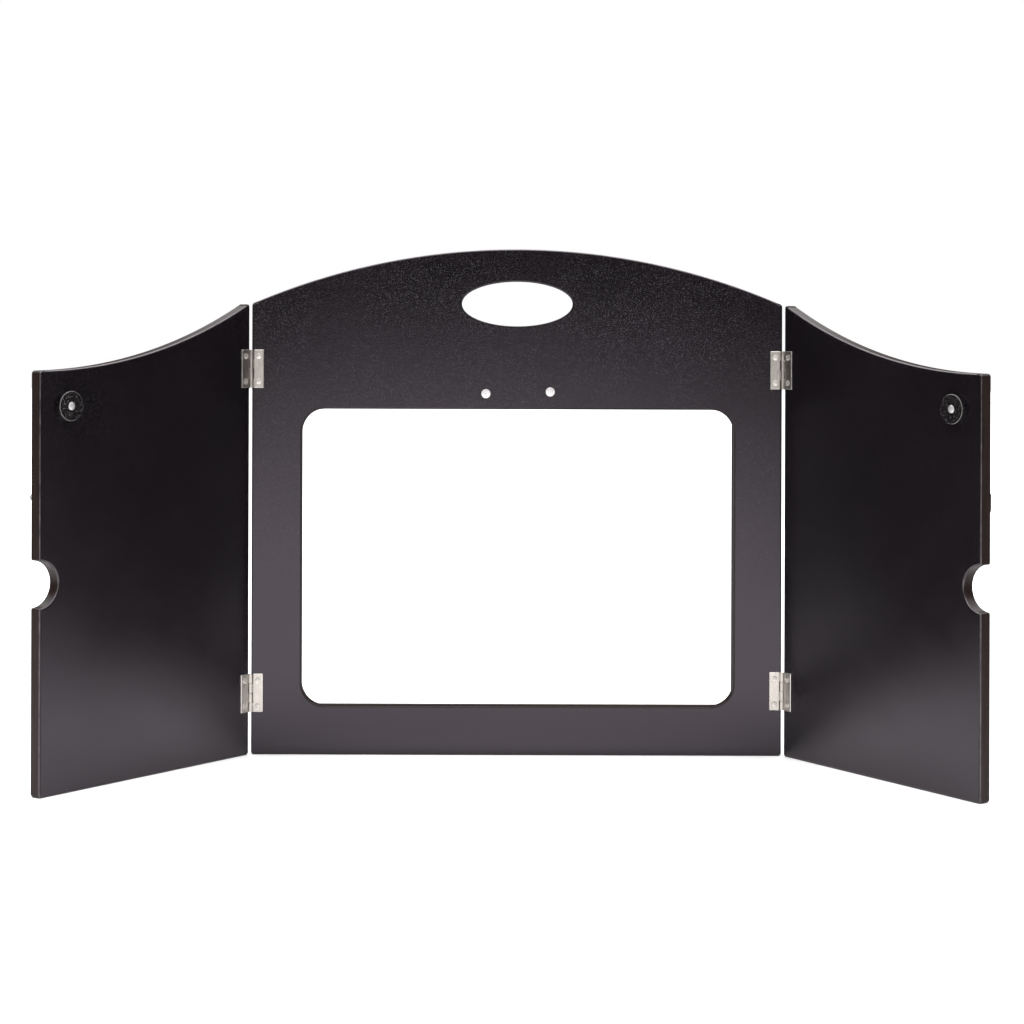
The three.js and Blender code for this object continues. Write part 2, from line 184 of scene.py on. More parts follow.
def new_piece(name, surface, place, material, body, node):
    """Puts a surface at its place, as a mesh object that rides on a body for a CAD node."""
    points = place.of(np.concatenate(surface.points))
    masks = np.concatenate(surface.masks)
    corners, starts, smooth = [], [], []
    total = 0
    for faces, is_smooth in surface.faces:
        ordered = faces[:, ::-1] if place.mirrored() else faces
        corners.append(ordered.ravel())
        starts.append(total + np.arange(len(faces)) * faces.shape[1])
        smooth.append(np.full(len(faces), is_smooth))
        total += faces.size
    mesh = bpy.data.meshes.new(name)
    mesh.vertices.add(len(points))
    mesh.vertices.foreach_set("co", points.astype(np.float32).ravel())
    mesh.loops.add(total)
    mesh.loops.foreach_set("vertex_index", np.concatenate(corners).astype(np.int32))
    starts = np.concatenate(starts)
    mesh.polygons.add(len(starts))
    mesh.polygons.foreach_set("loop_start", starts.astype(np.int32))
    mesh.polygons.foreach_set("use_smooth", np.concatenate(smooth))
    for column, label in enumerate(("rim", "arris")):
        layer = mesh.attributes.new(label, "FLOAT", "POINT")
        layer.data.foreach_set("value", masks[:, column].astype(np.float32))
    mesh.update(calc_edges=True)
    mesh.validate()
    piece = bpy.data.objects.new(name, mesh)
    bpy.context.scene.collection.objects.link(piece)
    piece.data.materials.append(material)
    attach(piece, body)
    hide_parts(node)
    return piece


def grid_faces(rows, columns, wrap_rows=False, wrap_columns=False):
    """Quads of a grid of points numbered row by row."""
    r = np.arange(rows if wrap_rows else rows - 1)
    c = np.arange(columns if wrap_columns else columns - 1)
    r, c = (m.ravel() for m in np.meshgrid(r, c, indexing="ij"))
    below = (r + 1) % rows
    beside = (c + 1) % columns
    corners = [r * columns + c, below * columns + c, below * columns + beside, r * columns + beside]
    return np.stack(corners, 1)


# ----------------------------------------------------------------- outlines
# An outline is (points, normals): points (n, 2) in order with the wood on the
# left, and the unit normals that point away from the wood.

def arc(middle, radius, start, end, steps, hollow=False):
    """Points on a circle between two angles in degrees; a hollow arc's wood lies outside the circle."""
    angles = np.radians(np.linspace(start, end, steps + 1))
    ray = np.stack([np.cos(angles), np.sin(angles)], 1)
    return np.array(middle) + radius * ray, -ray if hollow else ray


def outline(*arcs):
    """The arcs joined by straight lines, each line held flat by a point close to either end.

    A line runs where two neighbouring normals agree. Its extra points lie on it,
    a small step from its ends, with the same normals."""
    points = np.concatenate([a[0] for a in arcs])
    normals = np.concatenate([a[1] for a in arcs])
    along = np.roll(points, -1, 0) - points
    length = np.maximum(np.linalg.norm(along, axis=1, keepdims=True), 1e-9)
    next_normals = np.roll(normals, -1, 0)
    straight = ((normals * next_normals).sum(1) > 1 - 1e-6) & (length[:, 0] > 4 * LINE_END)
    step = along / length * LINE_END
    spots = np.stack([points, points + step, points + along - step], 1)
    ways = np.stack([normals, normals, next_normals], 1)
    keep = np.stack([np.ones_like(straight), straight, straight], 1)
    return spots[keep], ways[keep]


def panel_outline():
    """Straight foot and sides under one circular arch, every corner rounded.

    The arch's radius follows from its half width and rise, and each top corner
    is a circle that touches the side and the arch from within."""
    rise = PANEL_TOP - PANEL_SIDE_HEIGHT
    radius = (PANEL_HALF_WIDTH ** 2 + rise ** 2) / (2 * rise)
    middle = PANEL_TOP - radius
    inset = PANEL_HALF_WIDTH - CORNER
    corner_height = middle + math.sqrt((radius - CORNER) ** 2 - inset ** 2)
    lean = math.degrees(math.atan2(corner_height - middle, inset))
    return outline(
        arc((-inset, CORNER), CORNER, 180, 270, 8),
        arc((inset, CORNER), CORNER, 270, 360, 8),
        arc((inset, corner_height), CORNER, 0, lean, 6),
        arc((0, middle), radius, lean, 180 - lean, 120),
        arc((-inset, corner_height), CORNER, 180 - lean, 180, 6),
    )


def window_outline():
    """A rectangle with round corners, followed clockwise because it is a hole."""
    corner = WINDOW["corner"]
    half = WINDOW["width"] / 2 - corner
    left, right = WINDOW_ASIDE - half, WINDOW_ASIDE + half
    low, high = WINDOW["bottom"] + corner, WINDOW["top"] - corner
    return outline(
        arc((left, low), corner, 270, 180, 24, hollow=True),
        arc((left, high), corner, 180, 90, 24, hollow=True),
        arc((right, high), corner, 90, 0, 24, hollow=True),
        arc((right, low), corner, 360, 270, 24, hollow=True),
    )


def hand_hole_outline():
    """An ellipse followed clockwise; its normal is the point divided by the squared half axes."""
    half_width, half_height = HAND_HOLE["width"] / 2, HAND_HOLE["height"] / 2
    angles = -np.linspace(0, 2 * np.pi, 128, endpoint=False)
    ray = np.stack([np.cos(angles), np.sin(angles)], 1)
    points = ray * (half_width, half_height) + (0, HAND_HOLE["middle"])
    normals = -ray / (half_width, half_height)
    return points, normals / np.linalg.norm(normals, axis=1, keepdims=True)


def door_outline(near, far):
    """A door from its hinge side, x = near, to its outer edge, x = far.

    The top is a hollow arc, level at the outer edge. The notch is a hollow half
    circle. Each rounded corner is a circle that touches both of its neighbours."""
    width = far - near
    drop = DOOR_SIDE_HEIGHT - DOOR_OUTER_HEIGHT
    radius = (width ** 2 + drop ** 2) / (2 * drop)
    top_middle = DOOR_OUTER_HEIGHT + radius

    reach = NOTCH["radius"] + NOTCH["lip"]
    lip_rise = math.sqrt(reach ** 2 - NOTCH["lip"] ** 2)
    lip_lean = math.degrees(math.atan2(lip_rise, NOTCH["lip"]))
    lip_x = far - NOTCH["lip"]

    outer_corner = top_middle - math.sqrt((radius + CORNER) ** 2 - CORNER ** 2)
    outer_lean = math.degrees(math.atan2(top_middle - outer_corner, CORNER))
    to_axis = width - DOOR_TOP_CORNER
    hinge_corner = top_middle - math.sqrt((radius + DOOR_TOP_CORNER) ** 2 - to_axis ** 2)
    hinge_lean = math.degrees(math.atan2(top_middle - hinge_corner, to_axis))
    return outline(
        arc((near + CORNER, CORNER), CORNER, 180, 270, 8),
        arc((far - CORNER, CORNER), CORNER, 270, 360, 8),
        arc((lip_x, NOTCH["middle"] - lip_rise), NOTCH["lip"], 0, lip_lean, 8),
        arc((far, NOTCH["middle"]), NOTCH["radius"], 180 + lip_lean, 180 - lip_lean, 56, hollow=True),
        arc((lip_x, NOTCH["middle"] + lip_rise), NOTCH["lip"], -lip_lean, 0, 8),
        arc((far - CORNER, outer_corner), CORNER, 0, outer_lean, 8),
        arc((far, top_middle), radius, 180 + outer_lean, 180 + hinge_lean, 80, hollow=True),
        arc((near + DOOR_TOP_CORNER, hinge_corner), DOOR_TOP_CORNER, hinge_lean, 180, 8),
    )


def box_outline(low, high, corner, steps=6):
    """A rectangle from its low to its high corner, all four corners rounded alike."""
    (x0, y0), (x1, y1) = low, high
    return outline(
        arc((x0 + corner, y0 + corner), corner, 180, 270, steps),
        arc((x1 - corner, y0 + corner), corner, 270, 360, steps),
        arc((x1 - corner, y1 - corner), corner, 0, 90, steps),
        arc((x0 + corner, y1 - corner), corner, 90, 180, steps),
    )


def circle_hole(middle, radius, steps=40):
    return tuple(a[:-1] for a in arc(middle, radius, 360, 0, steps, hollow=True))


# ------------------------------------------------------------------- slabs

def rounded_edge(depth, radius, margin=FACE_MARGIN, steps=6):
    """(inset, depth, rim, arris) down a board's edge: a quarter circle, the straight side, another."""
    turn = np.linspace(0, np.pi / 2, steps + 1)
    inset = radius * (1 - np.sin(turn))
    sink = radius * (1 - np.cos(turn))
    arris = np.sin(2 * turn)
    rim = turn / (np.pi / 2)
    first = np.stack([inset, sink, rim, arris], 1)
    last = np.stack([inset, depth - sink, rim, arris], 1)[::-1]
    start = [[radius + margin, 0, 0, 0]]
    end = [[radius + margin, depth, 0, 0]]
    hold = min(LINE_END, (depth - 2 * radius) / 4)
    side = [[0, radius + hold, 1, 0], [0, depth - radius - hold, 1, 0]]
    return np.concatenate([start, first, side, last, end])


def countersunk_edge(depth, widening, sink):
    """(inset, depth, rim, arris) down a screw hole: a cone of the given widening, then straight."""
    return np.array([
        [widening + 0.12 * MM, 0, 0, 0],
        [widening, 0.04 * MM, 0, 1],
        [0, sink, 0, 0],
        [0, depth, 0, 0],
    ])


def slab(surface, edges, front=0.0):
    """A flat board lying in (x, z) with y as its depth: every loop's edge profile, and two faces.

    An edge is ((points, normals), profile). The point at (i, j) is the outline's
    point i, moved against its normal by profile j's inset, at profile j's depth.
    The first and last rings of all the loops bound the two flat faces."""
    fronts, backs, offset = [], [], 0
    for (points, normals), profile in edges:
        inset, depth, rim, arris = profile.T
        flat = points[:, None, :] - normals[:, None, :] * inset[None, :, None]
        rows, columns = flat.shape[:2]
        depths = np.broadcast_to(depth + front, (rows, columns))
        grid = np.stack([flat[..., 0], depths, flat[..., 1]], -1).reshape(-1, 3)
        masks = np.stack([np.tile(rim, rows), np.tile(arris, rows)], 1)
        surface.add(grid, [(grid_faces(rows, columns, wrap_rows=True), True)], masks)
        fronts.append((grid[::columns], offset + np.arange(rows) * columns))
        backs.append((grid[columns - 1::columns], offset + np.arange(rows) * columns + columns - 1))
        offset += len(grid)
    start = surface.count - offset
    for rings, towards_audience in ((fronts, True), (backs, False)):
        index = np.concatenate([ring[1] for ring in rings])
        spots = np.concatenate([ring[0] for ring in rings])
        loops = [[Vector((x, z, 0)) for x, _, z in ring[0]] for ring in rings]
        triangles = np.array(tessellate_polygon(loops))
        a, b, c = (spots[triangles[:, k]][:, [0, 2]] for k in range(3))
        area = (b - a)[:, 0] * (c - a)[:, 1] - (b - a)[:, 1] * (c - a)[:, 0]
        wrong = (area < 0) if towards_audience else (area > 0)
        triangles[wrong] = triangles[wrong][:, ::-1]
        surface.faces.append((index[triangles] + start, False))


# ------------------------------------------------------------ turned pieces

def turned(surface, profile, segments=64, press=None):
    """A piece turned about its own z axis, closed with a pole at both ends.

    The point at (i, j) is profile i's (radius, height) at angle j. press, if
    given, returns how far a point (x, y) of the first rows is pushed down."""
    profile = np.array(profile, float)
    angles = np.linspace(0, 2 * np.pi, segments, endpoint=False)
    radius, height = profile[1:-1].T
    x = radius[:, None] * np.cos(angles)
    y = radius[:, None] * np.sin(angles)
    z = np.broadcast_to(height[:, None], x.shape).copy()
    top = profile[0, 1]
    if press is not None:
        z -= press(x, y)
        top -= press(np.zeros(1), np.zeros(1))[0]
    ring = np.stack([x, y, z], -1).reshape(-1, 3)
    poles = [[0, 0, top], [0, 0, profile[-1, 1]]]
    points = np.concatenate([ring, poles])
    rows = len(radius)
    around = np.arange(segments)
    beside = (around + 1) % segments
    first = len(ring)
    last_row = (rows - 1) * segments
    top_fan = np.stack([np.full(segments, first), around, beside], 1)
    end_fan = np.stack([np.full(segments, first + 1), last_row + beside, last_row + around], 1)
    quads = grid_faces(rows, segments, wrap_columns=True)
    surface.add(points, [(quads, True), (top_fan, True), (end_fan, True)])


def cross_recess(head_radius, depth):
    """A cross-shaped recess: two tapering slots at right angles with sloping walls.

    A slot's depth falls off across it as a smooth step at its wall, and along it
    as the square root of what is left of its length."""
    length = 0.56 * head_radius
    half_width = 0.135 * head_radius
    wall = 0.07 * head_radius

    def slot(along, across):
        left = np.clip(1 - np.abs(along) / length, 0, 1)
        edge = np.clip((half_width * (0.45 + 0.55 * left) - np.abs(across)) / wall + 0.5, 0, 1)
        return edge * edge * (3 - 2 * edge) * np.sqrt(left)

    def press(x, y):
        shape = np.maximum(slot(x, y), slot(y, x))
        inside = np.hypot(x, y) < length
        return depth * shape * inside

    return press


def single_slot(head_radius, depth):
    """A straight slot right across a head: a smooth step at each of its two walls."""
    half_width = 0.13 * head_radius
    wall = 0.06 * head_radius

    def press(x, y):
        edge = np.clip((half_width - np.abs(y)) / wall + 0.5, 0, 1)
        return depth * edge * edge * (3 - 2 * edge) * (np.hypot(x, y) < head_radius * 0.99)

    return press


def screw(head_radius, crown, underside, shank_radius, length, neck, recess, rows=34):
    """A screw about z with its seat at z = 0: crowned head, rim, underside, shank and point.

    The head's height over radius r is crown * (1 - (r / R) squared). A flat head
    has a cone below the seat, and a round head stands on a bare neck."""
    radius = np.linspace(0, head_radius * 0.97, rows)
    top = neck + crown * (1 - (radius / head_radius) ** 2)
    head = list(zip(radius, top))
    rim = 0.1 * MM
    if neck:
        below = [(head_radius, neck + 0.03 * crown), (head_radius * 0.98, neck), (shank_radius, neck)]
    else:
        below = [(head_radius, -rim * 0.3), (head_radius, -rim), (shank_radius, -underside)]
    tip = [(shank_radius, -length + 3 * shank_radius), (0.3 * shank_radius, -length), (0, -length)]
    surface = Surface()
    turned(surface, head + below + tip, segments=96, press=limited(recess, head_radius * 0.98))
    return surface


def limited(press, radius):
    """A recess that leaves everything outside a radius alone, so that only the head is pushed in."""
    return lambda x, y: press(x, y) * (np.hypot(x, y) < radius) * first_rows(x)


HEAD_SHARE = 0.78                # of a screw's rows that belong to the top of its head


def first_rows(x):
    """1 on the rows that make the top of a head, 0 on the rows below it; 1 at a pole."""
    if x.ndim < 2:
        return 1.0
    return (np.arange(len(x)) < HEAD_SHARE * len(x)).astype(float)[:, None]


def carried(surface, path, across, section, z):
    """A section carried along a path in the (x, y) plane, closed at both ends.

    The point at (i, j) is path i plus across i times the section's first number,
    at height z plus its second number."""
    flat = path[:, None, :] + across[:, None, :] * section[None, :, :1]
    heights = np.broadcast_to(z + section[:, 1], flat.shape[:2])
    grid = np.stack([flat[..., 0], flat[..., 1], heights], -1)
    rows, columns = grid.shape[:2]
    ends = np.stack([grid[0].mean(0), grid[-1].mean(0)])
    points = np.concatenate([grid.reshape(-1, 3), ends])
    around = np.arange(columns)
    beside = (around + 1) % columns
    first, last = rows * columns, rows * columns + 1
    base = (rows - 1) * columns
    start_fan = np.stack([np.full(columns, first), around, beside], 1)
    end_fan = np.stack([np.full(columns, last), base + beside, base + around], 1)
    quads = grid_faces(rows, columns, wrap_columns=True)
    surface.add(points, [(quads, True), (start_fan, False), (end_fan, False)])


# ------------------------------------------------------- shared node groups

def socket(group, name, way, kind, default=None):
    made = group.interface.new_socket(name=name, in_out=way, socket_type=kind)
    if default is not None:
        made.default_value = default
    return made


class Nodes:
    """Short calls for building a node tree: each returns the new node's output socket."""

    def __init__(self, tree):
        self.tree = tree

    def add(self, kind, inputs=None, output=0, **settings):
        node = self.tree.nodes.new(kind)
        for key, value in settings.items():
            setattr(node, key, value)
        self.wire(node, inputs or {})
        return node.outputs[output]

    def wire(self, node, inputs):
        """Feeds each input from a socket, or sets it to a constant."""
        for key, value in inputs.items():
            if isinstance(value, bpy.types.NodeSocket):
                self.tree.links.new(value, node.inputs[key])
            else:
                node.inputs[key].default_value = value

    def noise(self, place, scale, detail=3.0, roughness=0.5):
        inputs = {"Vector": place, "Scale": scale, "Detail": detail, "Roughness": roughness}
        return self.add("ShaderNodeTexNoise", inputs)

    def between(self, value, low, high, to_low=0.0, to_high=1.0):
        inputs = {"Value": value, "From Min": low, "From Max": high, "To Min": to_low, "To Max": to_high}
        return self.add("ShaderNodeMapRange", inputs)

    def math(self, operation, a, b):
        return self.add("ShaderNodeMath", {0: a, 1: b}, operation=operation)

    def mix(self, factor, a, b):
        inputs = {0: factor, 6: a, 7: b}
        return self.add("ShaderNodeMix", inputs, output=2, data_type="RGBA")


def node_group(name, inputs, outputs):
    """An empty shader group with named sockets, and the ends to wire it from."""
    group = bpy.data.node_groups.new(name, "ShaderNodeTree")
    for label, kind, default in inputs:
        socket(group, label, "INPUT", kind, default)
    for label, kind in outputs:
        socket(group, label, "OUTPUT", kind)
    return group, Nodes(group), group.nodes.new("NodeGroupInput"), group.nodes.new("NodeGroupOutput")


def make_specks_group():
    """Fine light specks, partly dust and partly painted glints: the bright end of a fine noise, thinned
    by a coarse one.
    """
    group, make, start, end = node_group("dust_and_glint_specks", [
        ("Place", "NodeSocketVector", None),
        ("Scale", "NodeSocketFloat", 900.0),
        ("Threshold", "NodeSocketFloat", 0.66),
    ], [("Mask", "NodeSocketFloat")])
    fine = make.noise(start.outputs["Place"], start.outputs["Scale"], 2.0, 0.6)
    above = make.math("SUBTRACT", fine, start.outputs["Threshold"])
    spots = make.between(above, 0.0, 0.09)
    patches = make.between(make.noise(start.outputs["Place"], 14.0, 2.0), 0.3, 0.7, 0.25, 1.0)
    group.links.new(make.math("MULTIPLY", spots, patches), end.inputs["Mask"])
    return group


def make_wear_and_highlight_group():
    """Worn edges with a painted highlight: the edge mask, broken up by a noise so that it comes and
    goes.
    """
    group, make, start, end = node_group("edge_wear_and_highlight", [
        ("Place", "NodeSocketVector", None),
        ("Edge", "NodeSocketFloat", 0.0),
        ("Scale", "NodeSocketFloat", 60.0),
        ("Amount", "NodeSocketFloat", 0.6),
    ], [("Mask", "NodeSocketFloat")])
    broken = make.noise(start.outputs["Place"], start.outputs["Scale"], 5.0, 0.65)
    pushed = make.math("ADD", broken, start.outputs["Amount"])
    worn_and_highlighted = make.between(make.math("MULTIPLY", pushed, start.outputs["Edge"]), 0.75, 1.1)
    group.links.new(worn_and_highlighted, end.inputs["Mask"])
    return group


def make_grain_group():
    """Long grain: a noise stretched many times along one way of the wood or the brush."""
    group, make, start, end = node_group("long_grain", [
        ("Place", "NodeSocketVector", None),
        ("Stretch", "NodeSocketVector", (1.0, 1.0, 1.0)),
        ("Scale", "NodeSocketFloat", 60.0),
    ], [("Value", "NodeSocketFloat")])
    inputs = {0: start.outputs["Place"], 1: start.outputs["Stretch"]}
    stretched = make.add("ShaderNodeVectorMath", inputs, operation="MULTIPLY")
    group.links.new(make.noise(stretched, start.outputs["Scale"], 6.0, 0.62), end.inputs["Value"])
    return group


SPECKS = make_specks_group()
WEAR_AND_HIGHLIGHT = make_wear_and_highlight_group()
GRAIN = make_grain_group()


# ---------------------------------------------------------------- materials

class Finish(Nodes):
    """A material with a Principled shader, and calls that place the shared groups in it."""

    def __init__(self, name):
        self.material = bpy.data.materials.new(name)
        self.material.use_nodes = True
        super().__init__(self.material.node_tree)
        self.shader = self.tree.nodes["Principled BSDF"]
        self.place = self.add("ShaderNodeTexCoord", output="Object")

    def along(self, axis):
        return self.add("ShaderNodeSeparateXYZ", {"Vector": self.place}, output=axis)

    def mask(self, name):
        return self.add("ShaderNodeAttribute", output="Fac", attribute_name=name)

    def group(self, shared, **inputs):
        node = self.tree.nodes.new("ShaderNodeGroup")
        node.node_tree = shared
        self.wire(node, {"Place": self.place, **inputs})
        return node.outputs[0]

    def set(self, **values):
        """Constant numbers go straight onto the shader's own sockets."""
        for key, value in values.items():
            self.shader.inputs[key.replace("_", " ")].default_value = value

    def feed(self, name, value):
        self.tree.links.new(value, self.shader.inputs[name])

    def colour(self, value):
        self.feed("Base Color", value)

    def roughness(self, value):
        self.feed("Roughness", value)

    def bump(self, height, distance, strength=1.0):
        inputs = {"Height": height, "Distance": distance, "Strength": strength}
        self.tree.links.new(self.add("ShaderNodeBump", inputs), self.shader.inputs["Normal"])


SPECK_HEIGHTS = (0.12, 0.40)         # heights between which the specks come in, fewer towards the foot
BARE_EDGE = (0.75, 1.0)          # share of the way round an edge where its own finish comes in


def black_lacquer(name, smoothest, dullest, speck_share):
    """Satin black lacquer on board: a fine orange peel, light specks that are partly dust and partly
    painted glints, duller, browner edges, and a painted highlight along each rounded edge, partly wear.

    Its roughness runs from smoothest to dullest in soft clouds, and its specks
    thin out towards the foot from the given share."""
    finish = Finish(name)
    cloud = finish.between(finish.noise(finish.place, 9.0, 4.0), 0.3, 0.7)
    face = finish.mix(cloud, (0.0030, 0.0022, 0.0029, 1), (0.0050, 0.0037, 0.0049, 1))
    # light specks, partly dust and partly painted glints, fewer towards the foot
    speck_amount = finish.between(finish.along("Z"), *SPECK_HEIGHTS, 0.08 * speck_share, speck_share)
    specks = finish.group(SPECKS, Scale=1100.0, Threshold=0.59)
    face = finish.mix(finish.math("MULTIPLY", specks, speck_amount), face, (0.070, 0.066, 0.073, 1))
    streaks = finish.group(GRAIN, Stretch=(1.0, 1.0, 0.06), Scale=420.0)
    edge = finish.mix(streaks, (0.004, 0.0025, 0.002, 1), (0.030, 0.020, 0.017, 1))
    rim = finish.mask("rim")
    body = finish.mix(finish.between(rim, *BARE_EDGE), face, edge)
    # a lighter colour on the middle of each rounded edge: a painted highlight, partly wear
    wear_and_highlight = finish.group(WEAR_AND_HIGHLIGHT, Edge=finish.mask("arris"), Scale=90.0, Amount=0.52)
    finish.colour(finish.mix(finish.math("MULTIPLY", wear_and_highlight, 0.5), body, (0.16, 0.14, 0.135, 1)))
    satin = finish.between(finish.noise(finish.place, 30.0, 5.0), 0.25, 0.75, smoothest, dullest)
    finish.roughness(finish.math("ADD", satin, finish.math("MULTIPLY", rim, 0.10)))
    finish.feed("Specular IOR Level", finish.between(rim, *BARE_EDGE, 0.5, 0.10))
    finish.bump(finish.noise(finish.place, 1300.0, 1.0), 0.00006, 1.0)
    finish.set(IOR=1.5, Specular_Tint=(1.0, 0.88, 1.0, 1))
    return finish.material


def black_stain():
    """Matt black stain on solid wood, with the grain running along the rail."""
    finish = Finish("black_stain")
    grain = finish.group(GRAIN, Stretch=(0.05, 1.0, 1.0), Scale=260.0)
    wood = finish.mix(grain, (0.009, 0.008, 0.008, 1), (0.030, 0.024, 0.021, 1))
    wear_and_highlight = finish.group(WEAR_AND_HIGHLIGHT, Edge=finish.mask("arris"), Scale=120.0, Amount=0.5)
    finish.colour(finish.mix(finish.math("MULTIPLY", wear_and_highlight, 0.5), wood, (0.12, 0.09, 0.07, 1)))
    finish.roughness(finish.between(grain, 0.3, 0.7, 0.66, 0.5))
    finish.bump(grain, 0.0002, 0.5)
    finish.set(IOR=1.45, Specular_Tint=(1.0, 0.90, 0.97, 1))
    return finish.material


def satin_nickel():
    """Satin nickel plate over pressed steel: brushed along its length, duller in patches, with a painted
    highlight along its rounded rims, partly wear.
    """
    finish = Finish("satin_nickel")
    brushed = finish.group(GRAIN, Stretch=(1.0, 1.0, 0.04), Scale=2600.0)
    patches = finish.noise(finish.place, 160.0, 4.0)
    plate = finish.mix(patches, (0.42, 0.385, 0.355, 1), (0.60, 0.555, 0.515, 1))
    # a bright colour on the middle of each rounded rim: a painted highlight, partly wear
    wear_and_highlight = finish.group(WEAR_AND_HIGHLIGHT, Edge=finish.mask("arris"), Scale=400.0, Amount=0.75)
    finish.colour(finish.mix(wear_and_highlight, plate, (0.95, 0.91, 0.86, 1)))
    finish.roughness(finish.between(brushed, 0.25, 0.75, 0.22, 0.40))
    finish.bump(brushed, 0.00002, 0.5)
    finish.set(Metallic=1.0)
    return finish.material


def screw_steel(name, bright, dull):
    """Plated screw steel with fine turning marks and a few dull spots."""
    finish = Finish(name)
    spots = finish.noise(finish.place, 900.0, 3.0)
    finish.colour(finish.mix(finish.between(spots, 0.35, 0.7), bright, dull))
    finish.roughness(finish.between(spots, 0.3, 0.7, 0.36, 0.48))
    finish.bump(finish.noise(finish.place, 5000.0, 2.0), 0.00001, 0.4)
    finish.set(Metallic=1.0)
    return finish.material


def black_coating():
    """Smooth black coating on the magnets, with light flecks on its face and a painted highlight along
    its rounded rim, partly rubbed wear.
    """
    finish = Finish("black_coating")
    cloud = finish.noise(finish.place, 120.0, 4.0)
    face = finish.mix(cloud, (0.003, 0.0025, 0.0028, 1), (0.009, 0.008, 0.0085, 1))
    flecks = finish.group(SPECKS, Scale=800.0, Threshold=0.60)
    face = finish.mix(flecks, face, (0.16, 0.15, 0.16, 1))
    # a lighter colour on the middle of the rounded rim: a painted highlight, partly rubbed wear
    wear_and_highlight = finish.group(WEAR_AND_HIGHLIGHT, Edge=finish.mask("arris"), Scale=300.0, Amount=0.66)
    finish.colour(finish.mix(finish.math("MULTIPLY", wear_and_highlight, 0.8), face, (0.26, 0.24, 0.24, 1)))
    finish.roughness(finish.between(cloud, 0.3, 0.7, 0.14, 0.24))
    finish.bump(finish.noise(finish.place, 1400.0, 3.0), 0.00006, 0.6)
    finish.set(IOR=1.45)
    return finish.material


PANEL_LACQUER = black_lacquer("black_lacquer_on_panel", 0.09, 0.13, 1.0)
DOOR_LACQUER = black_lacquer("black_lacquer_on_doors", 0.17, 0.23, 0.4)
STAIN = black_stain()
NICKEL = satin_nickel()
BRIGHT_STEEL = screw_steel("bright_steel", (0.86, 0.84, 0.84, 1), (0.72, 0.695, 0.69, 1))
HINGE_STEEL = screw_steel("hinge_screw_steel", (0.68, 0.64, 0.60, 1), (0.55, 0.515, 0.48, 1))
COATING = black_coating()


# ------------------------------------------------------------------- boards

def board_edge(round_radius=EDGE_ROUND, highlight_and_wear_share=1.0):
    """A board's edge profile. An edge given a small share keeps a dull arris, with little painted
    highlight and little wear.
    """
    profile = rounded_edge(BOARD_THICKNESS, round_radius)
    # the share scales the painted highlight and wear along the arris, and the rest of the round takes
    # the edge finish
    profile[1:-1, 2] = 1 - (1 - profile[1:-1, 2]) * highlight_and_wear_share
    profile[:, 3] *= highlight_and_wear_share
    return profile


def make_front_panel():
    surface = Surface()
    slab(surface, [
        (panel_outline(), board_edge()),
        # the window and hand-hole edges get only a small share of the painted arris highlight and wear
        (window_outline(), board_edge(0.7 * MM, 0.1)),
        (hand_hole_outline(), board_edge(0.9 * MM, 0.3)),
    ], FRONT_FACE)
    new_piece("panel_board", surface, HOME, PANEL_LACQUER, "main_panel", "front_panel")


def make_door(name):
    place = DOORS[name]
    low, high = measured(f"{name}_door", place)
    surface = Surface()
    loop = door_outline(low[0], high[0])
    slab(surface, [(loop, board_edge())], low[1])
    new_piece(f"{name}_door_board", surface, place, DOOR_LACQUER, WINGS[name], f"{name}_door")


# -------------------------------------------------------------------- rails

ALONG_X = [[0, 1, 0], [1, 0, 0], [0, 0, 1]]   # outline in (y, z), depth along x


def rail_outline(front, lip, back, level, bottom, lip_end):
    """An L-shaped section in (y, z): the bar from front to back, and its lip past the level."""
    bar = [(front, bottom), (back, bottom)]
    points = bar + [(back, lip_end), (lip, lip_end), (lip, level), (front, level)]
    if lip_end < level:
        points = points[::-1]
    return rounded_polygon(points, RAIL_ROUND)


def rounded_polygon(points, radius, steps=5):
    """A polygon, followed with its inside on the left, with every corner turned into an arc.

    At each corner the arc's middle lies where two lines at the radius from the
    sides cross; a corner that turns right gets a hollow arc."""
    points = np.array(points, float)
    arcs = []
    for before, here, after in zip(np.roll(points, 1, 0), points, np.roll(points, -1, 0)):
        come = (here - before) / np.linalg.norm(here - before)
        go = (after - here) / np.linalg.norm(after - here)
        turn = come[0] * go[1] - come[1] * go[0]
        hollow = turn < 0
        inward = -come + go
        middle = here + radius * inward
        out = np.array([come[1], -come[0]]) * (-1 if hollow else 1)
        start = math.degrees(math.atan2(out[1], out[0]))
        arcs.append(arc(middle, radius, start, start + math.copysign(90, turn), steps, hollow))
    return outline(*arcs)


def make_rail(name, node, level, outer, lip_end):
    """A card rail from its CAD box: level is where the cards run, outer the bar's far side."""
    low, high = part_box(node)
    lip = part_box("card_stop")[1].y + CARD_GAP
    surface = Surface()
    loop = rail_outline(BACK_FACE, lip, high.y, level, outer, lip_end)
    slab(surface, [(loop, rounded_edge(high.x - low.x, RAIL_ROUND))], low.x)
    new_piece(name, surface, Place(ALONG_X, [0, 0, 0]), STAIN, "main_panel", node)


def make_rails():
    stop_low, stop_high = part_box("card_stop")
    lower_low, lower_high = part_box("lower_card_rail")
    upper_low, upper_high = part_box("upper_card_rail")
    make_rail("lower_rail", "lower_card_rail", stop_low.z - CARD_GAP, lower_low.z, lower_high.z)
    make_rail("upper_rail", "upper_card_rail", stop_high.z + CARD_GAP, upper_high.z, upper_low.z)

    surface = Surface()
    loop = box_outline((stop_low.x, stop_low.z), (stop_high.x, stop_high.z), STOP_CORNER)
    slab(surface, [(loop, rounded_edge(stop_high.y - BACK_FACE, RAIL_ROUND))], BACK_FACE)
    new_piece("stop_strip", surface, HOME, STAIN, "main_panel", "card_stop")


# ------------------------------------------------------------------- hinges

